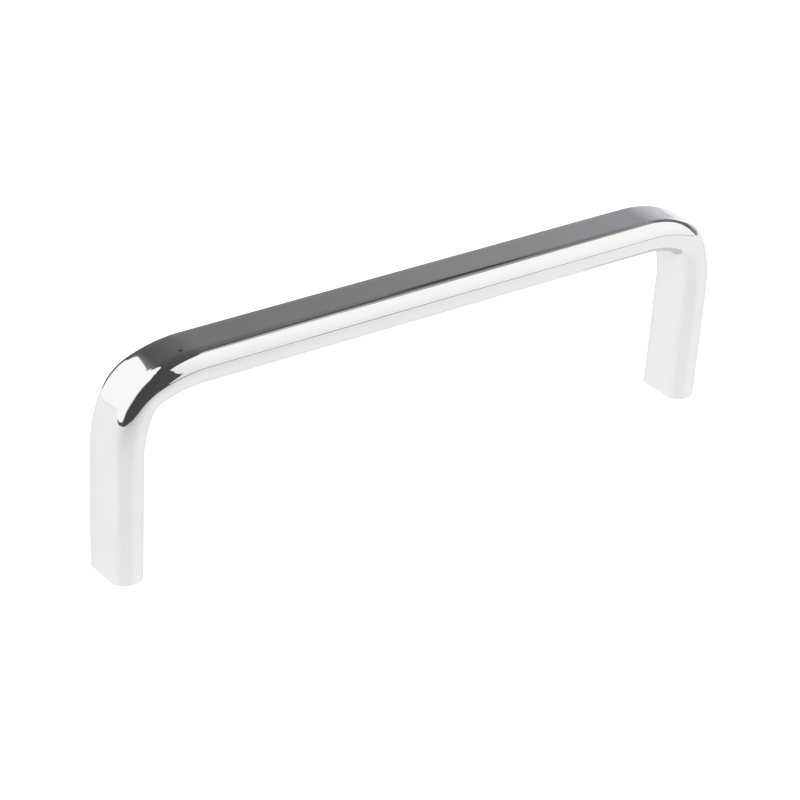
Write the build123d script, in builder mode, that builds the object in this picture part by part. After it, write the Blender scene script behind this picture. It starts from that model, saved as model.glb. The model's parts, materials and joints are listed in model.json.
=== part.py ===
"""Arch pull for a drawer or cabinet door: one solid bar, bent into a low arch and tapped at both feet.

The arch stands in the XZ plane on its two feet. The origin lies midway between the feet on the mounting
plane, +X runs from foot to foot, +Z points out of the drawer front, and the rounded nose of the bar
faces -Y. All sizes are in millimetres and degrees.
"""

import os
from math import cos, radians, sin, tan

from build123d import *

# The arch as a whole
hole_spacing = 128.0  # between the two fixing screws, and between the centrelines of the legs
projection = 41.5  # from the mounting plane to the outer face of the grip

# The bar's section: flat outer, inner and back faces and a full-round nose
bar_thickness = 6.7  # from the outer face to the inner face
bar_width = 10.0  # from the nose to the flat back
back_corner_radius = 0.5

# Each bend: a tight turn that eases in and out on a larger radius, all on the bar's centreline
turn_radius = 6.4
ease_radius = 24.5
ease_angle = 22.0

# The feet and their tapped holes
foot_edge_radius = 0.25
thread_diameter = 4.0
thread_pitch = 0.7
tapped_depth = 10.0  # of the cylindrical wall, from the mounting plane to the drill point
drill_point_angle = 118.0
mouth_angle = 90.0
mouth_clearance = 0.2  # of the countersunk mouth, around the thread's outer radius

# Worked out from the sizes above
nose_radius = bar_thickness / 2
turn_angle = 90 - 2 * ease_angle
bend_arcs = ((ease_radius, ease_angle), (turn_radius, turn_angle), (ease_radius, ease_angle))
ease_sin = sin(radians(ease_angle))
ease_cos = cos(radians(ease_angle))
bend_reach = ease_radius * (1 - ease_cos + ease_sin) + turn_radius * (ease_cos - ease_sin)
leg_length = projection - bar_thickness / 2 - bend_reach
grip_length = hole_spacing - 2 * bend_reach
tapping_radius = (thread_diameter - thread_pitch) / 2
mouth_radius = thread_diameter / 2 + mouth_clearance
drill_point_height = tapping_radius / tan(radians(drill_point_angle / 2))
foot_centres = ((-hole_spacing / 2, 0, 0), (hole_spacing / 2, 0, 0))


def bend(run):
    """Carry the centreline from the end of a straight run through one bend, and give the last arc."""
    for radius, angle in bend_arcs:
        run = JernArc(run @ 1, run % 1, radius, -angle)
    return run


with BuildPart() as arch_pull:
    # The centreline: up the first leg, along the grip and down the second leg
    with BuildLine(Plane.XZ) as centreline:
        first_leg = Line((-hole_spacing / 2, 0), (-hole_spacing / 2, leg_length))
        first_bend = bend(first_leg)
        grip = Line(first_bend @ 1, first_bend @ 1 + grip_length * (first_bend % 1))
        second_bend = bend(grip)
        Line(second_bend @ 1, (hole_spacing / 2, 0))

    # The bar's section, drawn at the first foot with its nose towards -Y
    with BuildSketch(Plane(foot_centres[0])) as section:
        with Locations((0, bar_width / 2)):
            Rectangle(bar_thickness, bar_width - nose_radius, align=(Align.CENTER, Align.MAX))
        with Locations((0, nose_radius - bar_width / 2)):
            Circle(nose_radius)
        fillet(section.vertices().group_by(Axis.Y)[-1], back_corner_radius)
    sweep(path=centreline.wire())

    # The sawn feet, their edges rounded over by the polishing wheel
    foot_edges = arch_pull.faces().group_by(Axis.Z)[0].edges()
    fillet(foot_edges, foot_edge_radius)

    # One tapped hole up the middle of each leg: countersunk mouth, wall and drill point
    with Locations(*[Plane(centre, z_dir=(0, 0, -1)) for centre in foot_centres]):
        CounterSinkHole(tapping_radius, mouth_radius, tapped_depth, mouth_angle)
    with Locations(*[Plane(centre).offset(tapped_depth) for centre in foot_centres]):
        Cone(
            tapping_radius,
            0,
            drill_point_height,
            align=(Align.CENTER, Align.CENTER, Align.MIN),
            mode=Mode.SUBTRACT,
        )

arch_pull.part.label = "arch_pull"

os.makedirs("parts", exist_ok=True)
export_step(arch_pull.part, "parts/arch_pull.step")
print("arch_pull", arch_pull.part.bounding_box().size, "volume", round(arch_pull.part.volume, 1))
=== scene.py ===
# %% [markdown]
# This lesson dresses an arch pull, the handle of a drawer or a cabinet door. The real one is a single
# metal bar: flat on three sides, fully rounded on the fourth, bent into a low arch and polished until it
# mirrors the room. A mirror shows every fault of its mesh, so most of the work here goes into one
# very even surface and into the studio that it reflects.
#
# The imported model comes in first. It fixes the place and the size of everything that follows.

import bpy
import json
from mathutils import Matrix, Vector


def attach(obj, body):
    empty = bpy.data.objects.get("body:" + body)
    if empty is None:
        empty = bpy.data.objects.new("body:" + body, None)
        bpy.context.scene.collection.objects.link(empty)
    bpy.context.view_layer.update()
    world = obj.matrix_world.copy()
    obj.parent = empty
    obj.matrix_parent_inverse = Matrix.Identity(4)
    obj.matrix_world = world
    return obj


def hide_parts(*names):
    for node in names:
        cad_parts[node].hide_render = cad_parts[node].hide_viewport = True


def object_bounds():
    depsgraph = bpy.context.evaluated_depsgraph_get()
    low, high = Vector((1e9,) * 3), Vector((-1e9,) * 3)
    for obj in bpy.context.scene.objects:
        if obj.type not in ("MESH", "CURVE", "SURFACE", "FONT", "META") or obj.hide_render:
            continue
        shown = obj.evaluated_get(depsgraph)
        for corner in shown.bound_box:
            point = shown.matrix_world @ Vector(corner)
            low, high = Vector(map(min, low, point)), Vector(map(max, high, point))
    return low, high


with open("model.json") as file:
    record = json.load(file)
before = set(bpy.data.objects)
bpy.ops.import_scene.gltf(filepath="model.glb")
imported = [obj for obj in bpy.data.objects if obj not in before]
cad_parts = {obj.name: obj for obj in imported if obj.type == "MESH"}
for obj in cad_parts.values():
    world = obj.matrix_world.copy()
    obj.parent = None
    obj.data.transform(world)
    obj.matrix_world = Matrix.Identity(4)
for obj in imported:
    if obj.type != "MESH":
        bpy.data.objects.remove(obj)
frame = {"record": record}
cad_low, cad_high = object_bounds()
print("CAD box in mm:", [round(1000 * v, 2) for v in (*cad_low, *cad_high)])

# %% [markdown]
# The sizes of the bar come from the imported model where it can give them: the row of screw holes is in the
# record, and the box gives the rest, because the legs stand half a bar's thickness outside the holes.
# What a box can't tell, such as the radii of a bend, is written here once, in metres.

# %% Sizes of the bar
import json
import math

import bpy
import numpy as np
from mathutils import Quaternion, Vector

MM = 0.001
screw_holes = next(m for m in frame["record"]["mounts"] if m["name"] == "screw_holes")
hole_spacing = screw_holes["dims"]["spacing_x_mm"] * MM
tapping_radius = screw_holes["dims"]["hole_r_mm"] * MM
projection = cad_high.z
bar_thickness = cad_high.x - cad_low.x - hole_spacing
bar_width = 2 * cad_high.y
nose_radius = bar_thickness / 2
turn_radius = 6.4 * MM
ease_radius = 24.5 * MM
ease_angle = math.radians(22)
foot_edge_radius = 0.25 * MM
print("bar", round(bar_thickness / MM, 3), "by", round(bar_width / MM, 3), "mm")

# %% [markdown]
# The centreline of the bar is a chain of straight runs and arcs. A bar that is bent cold doesn't turn
# on one clean radius: it eases in on a large one, turns tightly, and eases out again. Each run is given
# by its length and its curvature, which is zero for a straight one. With the heading known along the
# chain, the place follows from one formula for lines and arcs alike, so no case is treated apart.

# %% A chain of runs
def chain(runs):
    """Places and headings along a chain of runs, each (length, curvature, steps).

    After a way s with curvature k the heading has turned by k s. The place has moved by s sinc(k s / 2) along
    the mean heading, which is exact for an arc and for a straight line. Heading 0 points up and 90 degrees
    along +X. Gives arrays x, z, heading and distance along the chain, with each run's start kept once.
    """
    x, z, heading, along = [np.zeros(1)], [np.zeros(1)], [np.zeros(1)], [np.zeros(1)]
    for length, curvature, steps in runs:
        s = np.linspace(0, length, steps + 1)[1:]
        mean = heading[-1][-1] + curvature * s / 2
        chord = s * np.sinc(curvature * s / (2 * np.pi))
        x.append(x[-1][-1] + chord * np.sin(mean))
        z.append(z[-1][-1] + chord * np.cos(mean))
        heading.append(heading[-1][-1] + curvature * s)
        along.append(along[-1][-1] + s)
    return [np.concatenate(parts) for parts in (x, z, heading, along)]


print("a straight run of 1 ends at", [float(values[-1]) for values in chain([(1, 0, 1)])])

# %% [markdown]
# The arch goes up one leg, through a bend, along the grip, through the second bend and down the other leg.
# The straight runs take few steps. The arcs take many, because a mirror shows each step that is too long.

# %% The centreline
leg_steps, ease_steps, turn_steps, grip_steps = 10, 26, 30, 40
turn_angle = math.pi / 2 - 2 * ease_angle
ease_sin, ease_cos = math.sin(ease_angle), math.cos(ease_angle)
bend_reach = ease_radius * (1 - ease_cos + ease_sin) + turn_radius * (ease_cos - ease_sin)
leg = (projection - bar_thickness / 2 - bend_reach - foot_edge_radius, 0, leg_steps)
ease = (ease_radius * ease_angle, 1 / ease_radius, ease_steps)
turn = (turn_radius * turn_angle, 1 / turn_radius, turn_steps)
grip = (hole_spacing - 2 * bend_reach, 0, grip_steps)
path_x, path_z, path_heading, path_along = chain([leg, ease, turn, ease, grip, ease, turn, ease, leg])
path_x = path_x - hole_spacing / 2
path_z = path_z + foot_edge_radius
print("centreline:", len(path_x), "stations, ends at", round(path_x[-1] / MM, 3), round(path_z[-1] / MM, 3))

# %% [markdown]
# The section is what a knife would show on cutting the bar: a half circle for the nose, a flat inner
# face, a flat back, and a flat outer face. The two back corners are buffed: the cloth wheel rolls
# the flats off gently before the corner turns, so they follow a superellipse and not a plain arc. Each
# point carries its exact normal. Blender could guess the normals from the faces, but where a flat
# runs into a round the guess is off by half a degree, and a mirror doubles that.

# %% Lines and rounds of a section
buffed_deep = 1.0 * MM
buffed_wide = 2.4 * MM
buffed_power = 4


def arc(centre_u, centre_v, radius, start, end, steps):
    """Points and normals of an arc: centre + radius (cos a, sin a), the normal along (cos a, sin a)."""
    a = np.radians(np.linspace(start, end, steps + 1))
    normal = np.stack([np.cos(a), np.sin(a)], 1)
    return np.array([centre_u, centre_v]) + radius * normal, normal


def buffed_corner(corner_u, corner_v, start, end, steps):
    """Points and normals of a superellipse (u / deep)^n + (v / wide)^n = 1, whose box ends at the corner.

    At parameter a the point is (deep |cos a|^(2/n), wide |sin a|^(2/n)) with the signs of the quadrant, and
    the normal runs along (|cos a|^(2-2/n) / deep, |sin a|^(2-2/n) / wide).
    """
    a = np.radians(np.linspace(start, end, steps + 1))
    c, s = np.abs(np.cos(a)), np.abs(np.sin(a))
    k = 2 / buffed_power
    side = math.copysign(1, corner_u)
    centre = np.array([corner_u - side * buffed_deep, corner_v - buffed_wide])
    offset = np.stack([side * buffed_deep * c**k, buffed_wide * s**k], 1)
    normal = np.stack([side * c ** (2 - k) / buffed_deep, s ** (2 - k) / buffed_wide], 1)
    return centre + offset, normal / np.linalg.norm(normal, axis=1, keepdims=True)


def flat(start, end, normal, steps):
    """Points evenly spaced inside the straight line from start to end, with one normal for all."""
    t = np.linspace(0, 1, steps + 1)[1:-1, None]
    points = (1 - t) * np.array(start) + t * np.array(end)
    return points, np.tile(np.array(normal, float), (len(points), 1))


print("buffed corners:", round(buffed_deep / MM, 1), "by", round(buffed_wide / MM, 1), "mm")

# %% [markdown]
# The lines and rounds join into one ring. Its first axis, u, points out of the arch and its second one, v,
# to the back, so the nose lies at negative v.

# %% The section of the bar
nose_steps, side_steps, corner_steps, back_steps = 64, 10, 36, 8
side_u = bar_thickness / 2
back_v = bar_width / 2
nose_v = nose_radius - back_v
back_end_u = side_u - buffed_deep
side_end_v = back_v - buffed_wide
section_parts = [
    arc(0, nose_v, nose_radius, 0, -180, nose_steps),
    flat((-side_u, nose_v), (-side_u, side_end_v), (-1, 0), side_steps),
    buffed_corner(-side_u, back_v, 180, 90, corner_steps),
    flat((-back_end_u, back_v), (back_end_u, back_v), (0, 1), back_steps),
    buffed_corner(side_u, back_v, 90, 0, corner_steps),
    flat((side_u, side_end_v), (side_u, nose_v), (1, 0), side_steps),
]
section, section_normal = (np.vstack(arrays) for arrays in zip(*section_parts))
print("section:", len(section), "points round the bar")

# %% [markdown]
# Bending changes the section a little, and a mirror shows it. The bar dishes across its bends, as a rubber
# does when it is bent between two fingers: the outer face turns slightly hollow and narrow, the inner
# one slightly full and wide. How far a station counts as bent swells from 0 to 1 in the middle of a
# bend and back to 0.

# %% What bending does to the section
dish_strength = 7.0  # radians that the normal turns, for each metre across the bar
bend_length = 2 * ease[0] + turn[0]
into_bend = path_along - np.array([[leg[0]], [leg[0] + bend_length + grip[0]]])
bent = (np.sin(np.pi * np.clip(into_bend / bend_length, 0, 1)) ** 2).sum(0)[:, None]
dish = dish_strength * bent


def dished(u, v):
    """The dish of a bent bar, of strength a: (u, v) moves to (u + a (v^2 - u^2) / 2, v - a u v)."""
    return np.stack([u + dish * (v**2 - u**2) / 2, v - dish * u * v], -1)


def turned(n_u, n_v, v):
    """The dish turns the normal at v by the angle a v, from the second axis towards the first."""
    c, s = np.cos(dish * v), np.sin(dish * v)
    return np.stack([n_u * c + n_v * s, n_v * c - n_u * s], -1)


sections = dished(section[None, :, 0], section[None, :, 1])
section_normals = turned(section_normal[None, :, 0], section_normal[None, :, 1], section[None, :, 1])
print("dish in the bends:", round(float(np.abs(sections - section).max() / MM), 3), "mm at most")

# %% [markdown]
# Carrying the section along the centreline gives the whole skin of the bar as one grid: a row for each
# station and a column for each point of the section. The arch lies in the XZ plane, so at heading h
# the section's first axis points along (-cos h, sin h), which is always out of the arch, and its second
# axis stays along Y.

# %% The skin of the bar
def carry(x, z, heading, points):
    """Sweep each station's section: (x, 0, z) + u * outward + v * Y, as an array of rows by columns."""
    out_x, out_z = -np.cos(heading), np.sin(heading)
    u, v = points[..., 0], points[..., 1]
    return np.stack([x[:, None] + out_x[:, None] * u, v, z[:, None] + out_z[:, None] * u], -1)


skin = carry(path_x, path_z, path_heading, sections)
skin_normal = carry(0 * path_x, 0 * path_z, path_heading, section_normals)
print("skin:", skin.shape[0], "rows by", skin.shape[1], "columns")

# %% [markdown]
# Each foot is sawn square, and its edge is rounded over by the polishing wheel. The rows of the grid simply
# go on round that edge, with the section drawn in along its own normals.

# %% The rounded edge of a foot
edge_steps = 6


def edge_rows():
    """Rows of the rounded edge as (u, v, z) from the leg inwards, with the foot's plane at z = 0.

    Round the edge by an angle b the section moves in by r (1 - cos b) and down by r sin b.
    """
    b = np.linspace(0, np.pi / 2, edge_steps + 1)[1:, None, None]
    uv = section[None] - foot_edge_radius * (1 - np.cos(b)) * section_normal[None]
    z = foot_edge_radius * (1 - np.sin(b)) + np.zeros((1, len(section), 1))
    return np.concatenate([uv, z], -1)


edge = edge_rows()
print("rounded edge:", len(edge), "rows")

# %% [markdown]
# A blind hole is drilled and tapped up the middle of each leg. The rows go on once more: in over the foot,
# down the countersunk mouth, up the thread and into the cone that the drill leaves. So one grid runs from
# the bottom of one hole to the bottom of the other, with no seams to close.
#
# A thread is a helix: its groove climbs one pitch for each turn. On a grid of angle and height it is
# enough to let the radius depend on height over pitch minus the share of a turn.

# %% The tapped hole in a foot
thread_radius = 2.0 * MM
thread_pitch = 0.7 * MM
tapped_depth = 10.0 * MM
mouth_clearance = 0.2 * MM
drill_point_angle = math.radians(118)
mouth_steps, steps_per_pitch, cone_steps = 4, 6, 6
crest_share, flank_share = 0.12, 0.7  # of half a pitch
lead_in_turns, run_out_turns = 0.5, 3
mouth_radius = thread_radius + mouth_clearance
mouth_depth = mouth_radius - tapping_radius
drill_point_height = tapping_radius / math.tan(drill_point_angle / 2)
hole_depth = tapped_depth + drill_point_height


def hole_rows():
    """Rows of the hole as (u, v, z) from its mouth to the tip of the drill point.

    Every row is a circle through the same polar angles as the section, of radius R(z) for the mouth and the
    cone. On the thread R = tapping radius + depth * V(z / pitch - angle / turn), where V is a triangular
    wave with its ends cut flat, faded in at the mouth and out where the tap stops.
    """
    polar = np.arctan2(section[:, 1], section[:, 0])
    mouth_z = np.linspace(0, mouth_depth, mouth_steps + 1)[:, None]
    thread_steps = round((tapped_depth - mouth_depth) / thread_pitch * steps_per_pitch)
    thread_z = np.linspace(mouth_depth, tapped_depth, thread_steps + 1)[1:-1, None]
    cone_z = tapped_depth + drill_point_height * np.linspace(0, 1, cone_steps + 1)[:, None]

    wave = np.abs(2 * np.mod(thread_z / thread_pitch - polar[None] / (2 * np.pi), 1) - 1)
    wave = np.clip((wave - crest_share) / flank_share, 0, 1)
    fade_in = np.clip((thread_z - mouth_depth) / (lead_in_turns * thread_pitch), 0, 1)
    fade_out = np.clip((tapped_depth - thread_z) / (run_out_turns * thread_pitch), 0, 1)
    groove = (thread_radius - tapping_radius) * wave * fade_in * fade_out
    cone_radius = tapping_radius * (hole_depth - cone_z) / drill_point_height

    z = np.vstack([mouth_z, thread_z, cone_z]) + 0 * polar
    radius = np.vstack([mouth_radius - mouth_z + 0 * polar, tapping_radius + groove, cone_radius + 0 * polar])
    return np.stack([radius * np.cos(polar), radius * np.sin(polar), z], -1)


foot = np.concatenate([edge, hole_rows()])
left_foot = np.stack([-hole_spacing / 2 - foot[..., 0], foot[..., 1], foot[..., 2]], -1)
right_foot = np.stack([hole_spacing / 2 + foot[..., 0], foot[..., 1], foot[..., 2]], -1)
surface = np.concatenate([left_foot[::-1], skin, right_foot])
print("one foot:", len(foot), "rows; whole grid:", surface.shape[0], "by", surface.shape[1])

# %% [markdown]
# Now the grid becomes a mesh. Every cell of the grid is a quad, and the columns close into a ring. The
# first and the last row are the tips of the two drill points, each a single point, so the cells beside
# them are triangles.

# %% Faces of the grid
def closed_faces(rows, columns):
    """Index arrays of a tube whose first and last rows each shrink to one point.

    Vertices: first tip, then the rows between, then last tip. Returns loop vertex indices, loop starts, and
    for each face its row and for each loop its row and its column, counted on the full grid.
    """
    r, c = np.meshgrid(np.arange(1, rows - 2), np.arange(columns), indexing="ij")
    r, c = r.ravel(), c.ravel()
    quad_rows = np.stack([r, r, r + 1, r + 1], 1)
    quad_columns = np.stack([c, c + 1, c + 1, c], 1)
    first_rows = np.tile([0, 1, 1], (columns, 1))
    last_rows = np.tile([rows - 2, rows - 2, rows - 1], (columns, 1))
    tip_columns = np.arange(columns)[:, None] + np.array([0, 1, 0])
    loop_row = np.concatenate([first_rows.ravel(), quad_rows.ravel(), last_rows.ravel()])
    loop_column = np.concatenate([tip_columns.ravel(), quad_columns.ravel(), tip_columns.ravel()])
    vertex = 1 + (loop_row - 1) * columns + loop_column % columns
    vertex = np.where(loop_row == 0, 0, vertex)
    vertex = np.where(loop_row == rows - 1, 1 + (rows - 2) * columns, vertex)
    sides = np.concatenate([np.full(columns, 3), np.full(len(r), 4), np.full(columns, 3)])
    starts = np.concatenate([[0], np.cumsum(sides)[:-1]])
    face_row = np.concatenate([np.zeros(columns, int), r, np.full(columns, rows - 2)])
    return vertex, starts, face_row, loop_row, loop_column


rows, columns = surface.shape[:2]
vertex, starts, face_row, loop_row, loop_column = closed_faces(rows, columns)
print("faces:", len(starts), "with", len(vertex), "corners")

# %% [markdown]
# Places and corners go into the mesh through flat arrays, which takes a blink even for a large grid. The
# faces are then checked to point outwards: the volume under an outward face counts as positive.

# %% A mesh from the grid
points = np.concatenate([surface[0, :1], surface[1:-1].reshape(-1, 3), surface[-1, :1]])
mesh = bpy.data.meshes.new("arch_pull_bar")
mesh.vertices.add(len(points))
mesh.vertices.foreach_set("co", points.astype(np.float32).ravel())
mesh.loops.add(len(vertex))
mesh.loops.foreach_set("vertex_index", vertex.astype(np.int32))
mesh.polygons.add(len(starts))
mesh.polygons.foreach_set("loop_start", starts.astype(np.int32))
mesh.update(calc_edges=True)
mesh.validate()
corner_a, corner_b, corner_c = (points[vertex[starts + k]] for k in range(3))
outwards = bool((corner_a * np.cross(corner_b, corner_c)).sum() > 0)
print("bar mesh:", len(mesh.vertices), "vertices,", len(mesh.polygons), "faces, outwards:", outwards)

# %% [markdown]
# Two more things make the mesh ready for polish. The skin gets its exact normals, one for each corner of a
# face, and the feet keep the ones that Blender works out, with hard edges where faces meet sharply. And
# a UV map lays the grid out flat, lengthwise along the bar and crosswise round it, so that polishing
# lines can follow the bar through its bends.

# %% Normals and a UV map
bar_uv = "along_and_round"
sharp_angle = math.radians(35)
first_skin, last_skin = len(foot), len(foot) + len(skin) - 1
mesh.polygons.foreach_set("use_smooth", np.ones(len(starts), bool))
mesh.set_sharp_from_angle(angle=sharp_angle)
exact = np.zeros((rows, columns, 3))
exact[first_skin : last_skin + 1] = skin_normal
on_skin = np.repeat((face_row >= first_skin) & (face_row < last_skin), np.diff([*starts, len(vertex)]))
loop_normal = exact[loop_row, loop_column % columns] * on_skin[:, None]
mesh.normals_split_custom_set(loop_normal.tolist())

row_along = np.concatenate([[0], np.cumsum(np.linalg.norm(np.diff(surface, axis=0), axis=-1).max(1))])
ring = np.vstack([section, section[:1]])
ring_along = np.concatenate([[0], np.cumsum(np.linalg.norm(np.diff(ring, axis=0), axis=-1))])
bar_length, bar_girth = row_along[-1], ring_along[-1]
uv = np.stack([row_along[loop_row] / bar_length, ring_along[loop_column] / bar_girth], 1)
mesh.uv_layers.new(name=bar_uv).data.foreach_set("uv", uv.astype(np.float32).ravel())
print("UV map:", round(bar_length / MM, 1), "mm along by", round(bar_girth / MM, 2), "mm round")

# %% [markdown]
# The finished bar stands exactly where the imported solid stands, so it takes that node's place and rides on
# the same body. The object itself stays at the origin, because its place is in its mesh.

# %% The bar in the frame
bar = bpy.data.objects.new("arch_pull_bar", mesh)
bpy.context.scene.collection.objects.link(bar)
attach(bar, "root")
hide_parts("arch_pull")
print("bar placed at", tuple(bar.location))

# %% [markdown]
# Shader nodes are easier to read with a small helper. It makes a node, sets its options, and fills its
# inputs: a socket is linked and a number is typed in. A few more helpers stand on it, one for each kind of
# node that comes again and again.

# %% Helpers for shader nodes
def add(tree, kind, inputs=None, **options):
    """Make a node in a tree; inputs maps a socket's name or number to a value or to a socket to link."""
    made = tree.nodes.new(kind)
    for name, value in options.items():
        setattr(made, name, value)
    for name, value in (inputs or {}).items():
        if isinstance(value, bpy.types.NodeSocket):
            tree.links.new(value, made.inputs[name])
        else:
            made.inputs[name].default_value = value
    return made


def maths(tree, operation, *values):
    """One sum on numbers or sockets; gives its output socket."""
    return add(tree, "ShaderNodeMath", dict(enumerate(values)), operation=operation).outputs[0]


def fading(tree, value):
    """exp(-value), which is 1 at 0 and fades towards 0; gives its output socket."""
    return maths(tree, "EXPONENT", maths(tree, "MULTIPLY", value, -1.0))


def apart(tree, place, point):
    """The distance of a place from a fixed point; gives its output socket."""
    return add(tree, "ShaderNodeVectorMath", {0: place, 1: point}, operation="DISTANCE").outputs["Value"]


def noise(tree, place, scale, detail):
    """Noise from 0 to 1 at a place, with so many waves to a unit of it; gives its output socket."""
    return add(tree, "ShaderNodeTexNoise", {"Vector": place, "Scale": scale, "Detail": detail}).outputs["Fac"]


def spread(tree, value, inputs, **options):
    """A Map Range node, which carries a value from one range over to another; gives its output socket."""
    return add(tree, "ShaderNodeMapRange", {"Value": value, **inputs}, **options).outputs[0]


def mixed(tree, share, first, second):
    """From the first colour to the second; a Mix node has its colours at 6 and 7, and the result at 2."""
    return add(tree, "ShaderNodeMix", {0: share, 6: first, 7: second}, data_type="RGBA").outputs[2]


def grey(level):
    """A colour with the same red, green and blue."""
    return (level, level, level, 1)


print("node helpers ready")

# %% [markdown]
# No polished bar is perfectly flat. The wheel leaves shallow waves, a few thousandths of a millimetre
# high and some millimetres long, and they are what makes the edge of a reflection swim a little. They
# are too small to model, so they go into a height map that only bends the light. Both finishes of the bar
# need such waves, so they are a node group with sockets of its own.

# %% Waves left by polishing
def new_group(name, inputs, outputs):
    """An empty shader node group with float sockets; inputs maps names to default values."""
    group = bpy.data.node_groups.new(name, "ShaderNodeTree")
    for socket, value in inputs.items():
        made = group.interface.new_socket(socket, in_out="INPUT", socket_type="NodeSocketFloat")
        made.default_value = value
    for socket in outputs:
        group.interface.new_socket(socket, in_out="OUTPUT", socket_type="NodeSocketFloat")
    return group, group.nodes.new("NodeGroupInput").outputs, group.nodes.new("NodeGroupOutput").inputs


def make_waves():
    """Height = noise of the object's own coordinates at a wave length, times a depth, both in millimetres."""
    group, given, out = new_group("polishing waves", {"Length": 5.0, "Depth": 0.003}, ["Height"])
    place = add(group, "ShaderNodeTexCoord").outputs["Object"]
    wave = noise(group, place, maths(group, "DIVIDE", 1 / MM, given["Length"]), detail=1.0)
    height = maths(group, "MULTIPLY", wave, maths(group, "MULTIPLY", given["Depth"], MM))
    group.links.new(height, out["Height"])
    return group


waves = make_waves()
print("made", waves.name)

# %% [markdown]
# Under a lens the polish is a field of very fine lines that run along the bar, because the bar is pulled
# lengthwise past the wheel. The UV map follows the bar, so a noise that is stretched along it
# gives lines which turn with every bend.

# %% Fine polishing lines
def make_lines():
    """Lines = noise of the UV map, short round the bar and long along it, from 0 to 1."""
    group, given, out = new_group("polishing lines", {"Width": 0.12, "Length": 30.0}, ["Lines"])
    uv_place = add(group, "ShaderNodeUVMap", uv_map=bar_uv).outputs["UV"]
    shares = add(group, "ShaderNodeSeparateXYZ", {0: uv_place}).outputs
    along_mm = maths(group, "MULTIPLY", shares["X"], bar_length / MM)
    round_mm = maths(group, "MULTIPLY", shares["Y"], bar_girth / MM)
    along_step = maths(group, "DIVIDE", along_mm, given["Length"])
    round_step = maths(group, "DIVIDE", round_mm, given["Width"])
    stretched = add(group, "ShaderNodeCombineXYZ", {"X": along_step, "Y": round_step}).outputs[0]
    group.links.new(noise(group, stretched, scale=1.0, detail=2.0), out["Lines"])
    return group


lines = make_lines()
print("made", lines.name)

# %% [markdown]
# Handling dulls a polish in soft patches, and the polish itself opens a tiny pore here and there. The photo
# shows one such pit on the outer face, just past the left bend. Patches and pits are masks: numbers
# from 0 to 1 that a material may use as it likes.

# %% Hazy patches and a pit
known_pit = Vector((-52.8, -1.05, 41.32)) * MM
haze_starts, haze_full = 0.4, 0.7


def make_marks():
    """Haze = slow noise of the object's coordinates, made steeper; Pit shade = a soft spot about the known
    pit, for painted shade.
    """
    group, given, out = new_group("marks of use", {"Patch": 9.0, "Pit size": 0.22}, ["Haze", "Pit shade"])
    place = add(group, "ShaderNodeTexCoord").outputs["Object"]
    slow = noise(group, place, maths(group, "DIVIDE", 1 / MM, given["Patch"]), detail=3.0)
    haze_range = {"From Min": haze_starts, "From Max": haze_full}
    haze = spread(group, slow, haze_range, interpolation_type="SMOOTHSTEP")
    reach_mm = maths(group, "MULTIPLY", apart(group, place, known_pit), 1 / MM)
    pit_range = {"From Min": 0.0, "From Max": given["Pit size"], "To Min": 1.0, "To Max": 0.0}
    pit = spread(group, reach_mm, pit_range, interpolation_type="SMOOTHSTEP")
    group.links.new(haze, out["Haze"])
    group.links.new(pit, out["Pit shade"])
    return group


marks = make_marks()
print("made", marks.name)

# %% [markdown]
# The polish is a full metal with almost no roughness. Chromed or polished steel sends back a good half to
# three quarters of the light that falls on it, evenly over the colours. Haze raises the roughness by a
# hair, the waves and the lines bend the normal, and a pit is painted as a dark spot: painted shade that
# stands in for the shade inside the pore.

# %% Polished metal
def principled(name):
    """A new material with a Principled BSDF; gives the material, its tree and the shader's inputs."""
    material = bpy.data.materials.new(name)
    material.use_nodes = True
    return material, material.node_tree, material.node_tree.nodes["Principled BSDF"].inputs


def metal_finish(tree, shader, colour, roughness, height):
    """Make the shader a full metal whose colour, roughness and height vary over the surface."""
    bump = add(tree, "ShaderNodeBump", {"Height": height, "Distance": 1.0, "Strength": 1.0})
    tree.links.new(colour, shader["Base Color"])
    tree.links.new(roughness, shader["Roughness"])
    tree.links.new(bump.outputs[0], shader["Normal"])
    shader["Metallic"].default_value = 1.0


line_depth = 0.00004 * MM
polished, tree, shader = principled("polished_metal")
wave = add(tree, "ShaderNodeGroup", {"Length": 5.0, "Depth": 0.0025}, node_tree=waves).outputs
line = add(tree, "ShaderNodeGroup", {"Width": 0.12, "Length": 30.0}, node_tree=lines).outputs
mark = add(tree, "ShaderNodeGroup", {"Patch": 9.0, "Pit size": 0.6}, node_tree=marks).outputs
height = maths(tree, "ADD", wave["Height"], maths(tree, "MULTIPLY", line["Lines"], line_depth))
clean_or_hazy = mixed(tree, mark["Haze"], grey(0.765), grey(0.75))
# painted shade: the pit is coloured nearly black for the shade inside it
colour = mixed(tree, mark["Pit shade"], clean_or_hazy, grey(0.08))
roughness = spread(tree, mark["Haze"], {"To Min": 0.03, "To Max": 0.05})
metal_finish(tree, shader, colour, roughness, height)
shader["Specular Tint"].default_value = grey(0.88)
mesh.materials.append(polished)
print("made", polished.name)

# %% [markdown]
# The feet and the holes are never polished: the saw and the tap leave them bright but dull. The same groups
# serve here with coarser numbers.

# %% Machined metal
machined, tree, shader = principled("machined_metal")
wave = add(tree, "ShaderNodeGroup", {"Length": 0.6, "Depth": 0.004}, node_tree=waves).outputs
mark = add(tree, "ShaderNodeGroup", {"Patch": 1.5, "Pit size": 0.3}, node_tree=marks).outputs
colour = mixed(tree, mark["Haze"], grey(0.55), (0.42, 0.42, 0.43, 1))
roughness = spread(tree, mark["Haze"], {"To Min": 0.22, "To Max": 0.4})
metal_finish(tree, shader, colour, roughness, wave["Height"])
mesh.materials.append(machined)
machined_rows = len(foot) - edge_steps
in_foot = (face_row < machined_rows) | (face_row >= rows - 1 - machined_rows)
mesh.polygons.foreach_set("material_index", in_foot.astype(np.int32))
print("machined faces:", int(in_foot.sum()))

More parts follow.
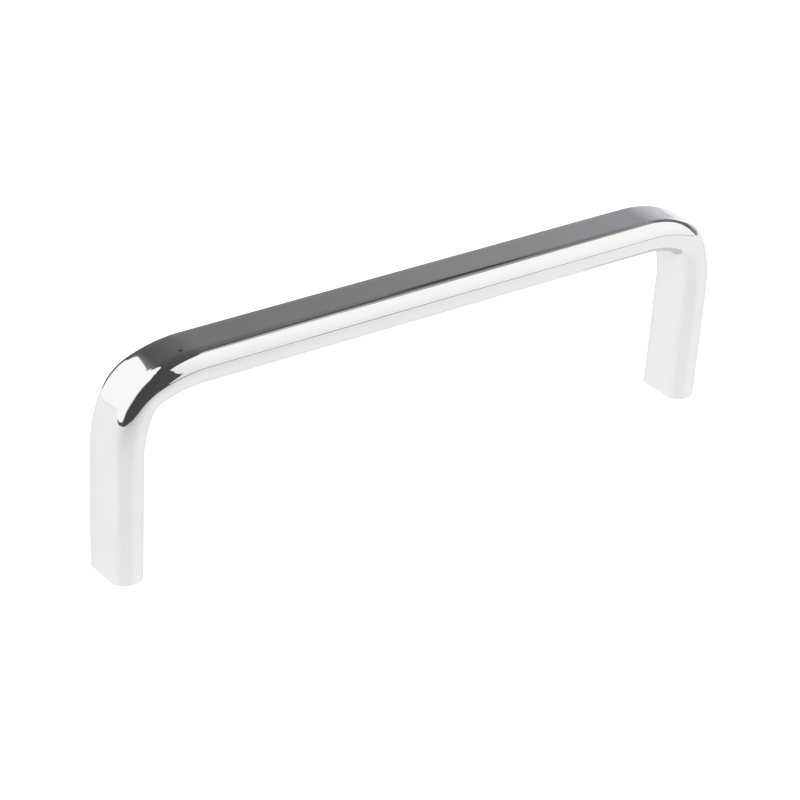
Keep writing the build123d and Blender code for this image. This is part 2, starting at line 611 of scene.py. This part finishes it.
# %% [markdown]
# A mirror has no look of its own, so the studio is half of the picture. Its table and its lights are thin
# sheets, and one helper makes them all: it takes an array of places and lays a quad into each cell.

# %% Sheets for the studio
sheet_uv = "UVMap"


def grid_object(name, place, material):
    """A sheet from an array of places, rows by columns: a quad for each cell, and a UV map from 0 to 1."""
    rows, columns = place.shape[:2]
    r, c = np.meshgrid(np.arange(rows - 1), np.arange(columns - 1), indexing="ij")
    start = (r * columns + c).ravel()
    corners = np.stack([start, start + 1, start + columns + 1, start + columns], 1)
    sheet = bpy.data.meshes.new(name)
    sheet.from_pydata(place.reshape(-1, 3), [], corners)
    t, s = np.meshgrid(np.linspace(0, 1, rows), np.linspace(0, 1, columns), indexing="ij")
    flat_uv = np.stack([s.ravel(), t.ravel()], 1)[corners.ravel()]
    sheet.uv_layers.new(name=sheet_uv).data.foreach_set("uv", flat_uv.astype(np.float32).ravel())
    sheet.materials.append(material)
    made = bpy.data.objects.new(name, sheet)
    bpy.context.scene.collection.objects.link(made)
    return made


print("sheet helper ready")

# %% [markdown]
# The pull stands on a light table, a white sheet that glows from inside and so hides most of the shadow.
# The glow isn't even, because light and shade are painted into it: a painted shade, standing in for the
# shadow of the camera and its stand, dims it towards the camera, and a painted pool of light makes it a
# little stronger beside the left leg. The sheet also mirrors a few hundredths of the lights, which parts
# the flat faces of the legs from their noses. A small metallic share does that evenly at every angle, where
# a clear glaze would flare at grazing ones. To the camera the table is washed out to one even white, so
# camera rays get at least that much light.

# %% The glow of the table
lamp_white = (1, 1, 0.99, 1)
table_light = 0.94
washed_white = 1.45
shaded_place, shaded_reach, shaded_loss = Vector((-0.15, -0.32, 0)), 0.12, 1.6
lit_place, lit_reach, lit_gain = Vector((-0.095, -0.005, 0)), 0.07, 0.045
white_glaze, tree, shader = principled("white_table")
place = add(tree, "ShaderNodeTexCoord").outputs["Object"]
# painted shade: the glow dims towards the camera's side, standing in for the shadow of the camera and its
# stand
shade = fading(tree, maths(tree, "DIVIDE", apart(tree, place, shaded_place), shaded_reach))
# painted light: a soft pool of extra glow beside the left leg
lit_share = maths(tree, "DIVIDE", apart(tree, place, lit_place), lit_reach)
lit = fading(tree, maths(tree, "POWER", lit_share, 2.0))
glow_with_painted_shade_and_light = maths(tree, "MULTIPLY_ADD", shade, -shaded_loss, table_light)
glow_with_painted_shade_and_light = maths(tree, "MULTIPLY_ADD", lit, lit_gain, glow_with_painted_shade_and_light)
seen = add(tree, "ShaderNodeLightPath").outputs["Is Camera Ray"]
washed_out = maths(tree, "MAXIMUM", maths(tree, "MULTIPLY", seen, washed_white), glow_with_painted_shade_and_light)
tree.links.new(washed_out, shader["Emission Strength"])
shader["Emission Color"].default_value = lamp_white
shader["Base Color"].default_value = grey(0.7)
shader["Roughness"].default_value = 0.25
shader["Metallic"].default_value = 0.07
shader["Specular IOR Level"].default_value = 0.0
print("made", white_glaze.name)

# %% [markdown]
# The front edge of the table ends just before the camera. Beyond it the room is dark, and the nose of the
# bar mirrors that dark as a narrow band. A shallow bite in the edge, shaped as a bell curve, lets in a
# little more of it. Only the middle of the edge needs many points, so the two far ends get one each.

# %% The white table
front_azimuth = math.radians(-150)
front_distance = 0.305
table_reach = 3.0
bite_depth, bite_place, bite_breadth = 0.088, 0.015, 0.07
fine_reach, fine_steps = 0.3, 60
to_front = np.array([math.sin(front_azimuth), math.cos(front_azimuth), 0])
to_side = np.array([to_front[1], -to_front[0], 0])
fine = np.linspace(-fine_reach, fine_reach, fine_steps + 1)
breadth = np.concatenate([[-table_reach], fine, [table_reach]])
front = front_distance - bite_depth * np.exp(-(((breadth - bite_place) / bite_breadth) ** 2))
depth = np.stack([front, np.full_like(front, -table_reach)])
table_grid = depth[..., None] * to_front + breadth[None, :, None] * to_side
table = grid_object("white_table", table_grid, white_glaze)
print("table front edge at", front_distance, "m, facing up:", table.data.polygons[0].normal.z > 0)

# %% [markdown]
# Two softboxes stand beside the table, each a glowing sheet. A mirror sees only directions, so each one is
# made as a patch of a dome, and its edges are listed by elevation, with the azimuth of the left and of
# the right edge, all in degrees. Azimuth 0 is +Y and 90 is +X.

# %% Patches of a dome
def dome_patch(edges, centre, distance, rows=140, columns=40):
    """Places on a dome round a centre, as an array of rows by columns.

    At elevation e the azimuth a runs from the left edge to the right one, both read off the list of edges,
    and place = centre + distance * (cos e sin a, cos e cos a, sin e).
    """
    height, left, right = np.array(edges, float).T
    t, s = np.meshgrid(np.linspace(0, 1, rows), np.linspace(0, 1, columns), indexing="ij")
    e = height[0] + t * (height[-1] - height[0])
    a = np.radians((1 - s) * np.interp(e, height, left) + s * np.interp(e, height, right))
    e = np.radians(e)
    way = np.stack([np.cos(e) * np.sin(a), np.cos(e) * np.cos(a), np.sin(e)], -1)
    return np.array(centre) + distance * way


print("a patch has", dome_patch([(0, 0, 1), (1, 0, 1)], (0, 0, 0), 1.0).shape[:2], "rows and columns")

# %% [markdown]
# No softbox is evenly bright, so two curves shade each sheet, one from side to side and one from bottom to
# top. The camera doesn't see the sheets, and they don't light the table: only mirrors show them.

# %% Glowing cards
even = [(0, 1), (1, 1)]


def ramp(tree, value, points):
    """A smooth curve through (place, value) points, as a float curve node; gives its output socket."""
    curve = add(tree, "ShaderNodeFloatCurve", {"Value": value})
    line = curve.mapping.curves[0].points
    line[0].location = points[0]
    line[len(line) - 1].location = points[-1]
    for place, level in points[1:-1]:
        line.new(place, level)
    for point in line:
        point.handle_type = "AUTO_CLAMPED"
    curve.mapping.update()
    return curve.outputs[0]


def card(name, edges, centre, distance, strength, across=even, upwards=even):
    """A glowing sheet on the dome: emission = strength * curve(left to right) * curve(bottom to top)."""
    cloth = bpy.data.materials.new(name)
    cloth.use_nodes = True
    tree = cloth.node_tree
    tree.nodes.clear()
    uv_place = add(tree, "ShaderNodeUVMap", uv_map=sheet_uv).outputs["UV"]
    shares = add(tree, "ShaderNodeSeparateXYZ", {0: uv_place}).outputs
    share = maths(tree, "MULTIPLY", ramp(tree, shares["X"], across), ramp(tree, shares["Y"], upwards))
    power = maths(tree, "MULTIPLY", share, strength)
    light = add(tree, "ShaderNodeEmission", {"Strength": power, "Color": lamp_white})
    add(tree, "ShaderNodeOutputMaterial", {"Surface": light.outputs[0]})
    made = grid_object(name, dome_patch(edges, centre, distance), cloth)
    made.visible_camera = False
    made.visible_diffuse = False
    return made


print("card helper ready")

# %% [markdown]
# The left softbox is the white patch on the left bend. A dark bar of its frame crosses it near its foot, and
# a grey flap hangs behind its right edge. Frame and flap are no lamps: each is a dim glowing sheet, whose
# glow is painted light for the little light it catches, and the flap's curves paint its shade from side to
# side and upwards. The edges bulge and narrow as the photo shows them in the bend.

# %% The left softbox
left_bend = (-60 * MM, 0, 38 * MM)
left_edges = [
    (-5.5, -101, -32), (0.6, -105, -32), (10, -109, -30), (19.6, -115, -24.5), (25.4, -118, -18),
    (30.2, -120, -8.5), (35.2, -121, -3), (38, -122, -4), (39.5, -122, -3.8), (40.4, -123, -1.0),
    (40.9, -123, 1.1), (42.9, -124, 4), (45, -125, 2), (48, -126, 0.5), (52, -127, -1.5), (56, -129, -2),
    (59, -131, 0), (63, -134, 3), (66, -136, 5), (71, -141, 5.5), (76, -145, 3), (80, -139, -4),
    (83, -117, -18), (86, -90, -70),
]
frame_edges = [(-5, -112, -86), (-4.2, -112, -68), (-3.4, -112, -64), (-2.6, -112, -98)]
flap_edges = [(38, -5, 8.5), (41, -2, 9), (44.5, 2, 10), (52, -2, 7)]
left_cards = [
    card("left_softbox", left_edges, left_bend, distance=0.4, strength=1.235,
         across=[(0, 0.2), (0.03, 0.6), (0.08, 0.95), (0.2, 1), (1, 1)],
         upwards=[(0, 0.7), (0.02, 0.98), (0.3, 1), (1, 1)]),
    # painted light: the frame and the flap glow, though they are no lamps
    card("left_softbox_frame", frame_edges, left_bend, distance=0.395, strength=0.1),
    card("left_softbox_flap", flap_edges, left_bend, distance=0.41, strength=0.33,
         across=[(0, 1), (0.35, 0.85), (0.6, 0.62), (0.85, 0.44), (1, 0.38)],
         upwards=[(0, 1), (0.5, 0.75), (1, 0.65)]),
]
print("left cards:", [made.name for made in left_cards])

# %% [markdown]
# The right softbox is the white of the nose along the whole grip. Its foot is a thin dark line, drawn as a
# dim glowing sheet: painted light, since the foot is no lamp.

# %% The right softbox
mid_grip = (0, 0, 40 * MM)
right_edges = [
    (-1.65, 107, 164), (2, 106, 166), (10, 105.5, 164), (18, 100, 164), (21, 94.5, 165), (24, 87.5, 166),
    (28, 81, 167), (32, 79.5, 168), (36, 78.5, 169), (44, 79, 170), (52, 82, 171), (56, 86.5, 172),
    (61, 90.5, 173.2), (65, 103, 174.5), (66, 106, 172), (68, 114, 167), (69, 122, 163), (70, 133, 158),
]
foot_line_edges = [(-2.2, 118, 150), (-0.7, 112, 151)]
right_cards = [
    card("right_softbox", right_edges, mid_grip, distance=1.2, strength=1.22,
         across=[(0, 1), (0.45, 1), (0.7, 0.96), (1, 0.85)],
         upwards=[(0, 0.92), (0.15, 0.925), (0.25, 0.965), (0.4, 1), (1, 1)]),
    # painted light: the dark foot glows dimly, though it is no lamp
    card("right_softbox_foot", foot_line_edges, mid_grip, distance=1.19, strength=0.1),
]
print("right cards:", [made.name for made in right_cards])

# %% [markdown]
# The right softbox shows its side as well. High up the side catches light and is mid grey, low down it is
# darker, most of all next to the sheet, and a dark gap parts it from the wall. The side and the gap are no
# lamps: they are glowing sheets with painted light and painted shade, whose strengths and curves stand in
# for the light that the side catches and for the shade low down and in the gap. These are the thin stripes
# that run along the grip between its grey top and its white nose.

# %% Side of the right softbox
low_edges = [
    (-1, 101, 110), (3, 98, 109), (7, 94, 108), (13, 81, 107), (15, 74, 105), (17, 66, 103), (19, 58, 101),
    (24, 56, 90), (30, 55, 83), (36, 55, 80), (40, 57, 80),
]
high_edges = [(40, 62, 81), (47, 61, 84), (52, 63, 85), (60, 70, 94), (67, 90, 118)]
gap_edges = [
    (38, 43, 50), (42, 45.5, 61.5), (45, 50, 65.5), (48, 51.5, 68.5), (52, 53.5, 67), (56, 56, 69.5),
    (60, 60, 71), (67, 78, 91),
]
# painted light and painted shade: the side and the gap glow, though they are no lamps
side_cards = [
    card("softbox_low_side", low_edges, mid_grip, distance=1.22, strength=0.5,
         across=[(0, 1), (0.15, 0.75), (0.3, 0.42), (0.45, 0.34), (1, 0.34)]),
    card("softbox_high_side", high_edges, mid_grip, distance=1.23, strength=0.6,
         across=[(0, 0.6), (0.2, 0.9), (0.4, 1), (1, 1)],
         upwards=[(0, 0.6), (0.3, 0.65), (0.585, 0.76), (0.66, 0.84), (0.74, 1), (1, 1)]),
    card("softbox_gap", gap_edges, mid_grip, distance=1.21, strength=0.22,
         across=[(0, 0.7), (0.15, 0.4), (0.4, 0.32), (0.55, 0.7), (0.7, 1), (1, 1)]),
]
print("side cards:", [made.name for made in side_cards])

# %% [markdown]
# The rest of the room is dark, apart from a glow on the back wall: a narrow strong one, slightly violet, on
# a wide weak one. That glow is what the long flat top of the grip mirrors, and it makes the grey that
# slowly lightens from left to right. It is part of the world, which camera rays see as plain white.

# %% The glow on the wall
def glow(tree, azimuth, breadth, power, height):
    """exp(-(turn from the azimuth / breadth)^power - (elevation / height)^2), with all angles in degrees."""
    direction = add(tree, "ShaderNodeTexCoord").outputs["Generated"]
    way = add(tree, "ShaderNodeSeparateXYZ", {0: direction}).outputs
    heading = maths(tree, "ARCTAN2", way["X"], way["Y"])
    aside = maths(tree, "ABSOLUTE", maths(tree, "SUBTRACT", heading, math.radians(azimuth)))
    aside = maths(tree, "POWER", maths(tree, "DIVIDE", aside, math.radians(breadth)), power)
    lifted = maths(tree, "DIVIDE", maths(tree, "ARCSINE", way["Z"]), math.radians(height))
    return fading(tree, maths(tree, "MULTIPLY_ADD", lifted, lifted, aside))


glow_azimuth = 62.8
violet_white = (1.01, 0.99, 1.1, 1)
near_strength, wide_strength, room_light = 1.62, 0.14, 0.074
world = bpy.data.worlds.new("studio")
bpy.context.scene.world = world
world.use_nodes = True
tree = world.node_tree
tree.nodes.clear()
near_glow = glow(tree, glow_azimuth, breadth=13.2, power=1, height=31.8)
wide_glow = glow(tree, glow_azimuth, breadth=62.3, power=2, height=53.0)
near_power = maths(tree, "MULTIPLY", near_glow, near_strength)
wide_power = maths(tree, "MULTIPLY_ADD", wide_glow, wide_strength, room_light)
near = add(tree, "ShaderNodeBackground", {"Strength": near_power, "Color": violet_white})
wide = add(tree, "ShaderNodeBackground", {"Strength": wide_power, "Color": grey(1)})
dim = add(tree, "ShaderNodeAddShader", {0: near.outputs[0], 1: wide.outputs[0]})
white = add(tree, "ShaderNodeBackground", {"Strength": 1.0, "Color": grey(1)})
seen = add(tree, "ShaderNodeLightPath").outputs["Is Camera Ray"]
both = add(tree, "ShaderNodeMixShader", {0: seen, 1: dim.outputs[0], 2: white.outputs[0]})
add(tree, "ShaderNodeOutputWorld", {"Surface": both.outputs[0]})
print("room glow towards azimuth", glow_azimuth)

# %% [markdown]
# One large soft light hangs over the table and makes its white. It is hidden from reflections, since the
# photo shows no light above the pull.

# %% Light over the table
overhead_height = 1.5
overhead = bpy.data.lights.new("overhead", "AREA")
overhead.shape = "DISK"
overhead.size = 2.4
overhead.energy = 5.0
overhead_place = bpy.data.objects.new("overhead", overhead)
overhead_place.location = (0, 0, overhead_height)
overhead_place.visible_glossy = False
overhead_place.visible_camera = False
bpy.context.scene.collection.objects.link(overhead_place)
print("overhead light:", overhead.energy, "W")

# %% [markdown]
# The camera looks down on the pull from the front left with a long lens. Its place and its slight tilt were
# worked out from the outline of the pull in the photo.

# %% The camera
look_from = Vector((-246.41, -311.25, 240.76)) * MM
look_at = Vector((-4.892, -0.2, 17.395)) * MM
tilt = math.radians(3.61)
camera = bpy.data.cameras.new("camera")
camera.lens = 111.17
camera.sensor_width = 36
camera.clip_start = 0.01
camera.dof.use_dof = False
camera_object = bpy.data.objects.new("camera", camera)
bpy.context.scene.collection.objects.link(camera_object)
level = (look_at - look_from).to_track_quat("-Z", "Y")
camera_object.rotation_mode = "QUATERNION"
camera_object.location = look_from
camera_object.rotation_quaternion = level @ Quaternion((0, 0, 1), tilt)
bpy.context.scene.camera = camera_object
bpy.context.scene.view_settings.view_transform = "Standard"
print("camera at", round((look_at - look_from).length, 3), "m")
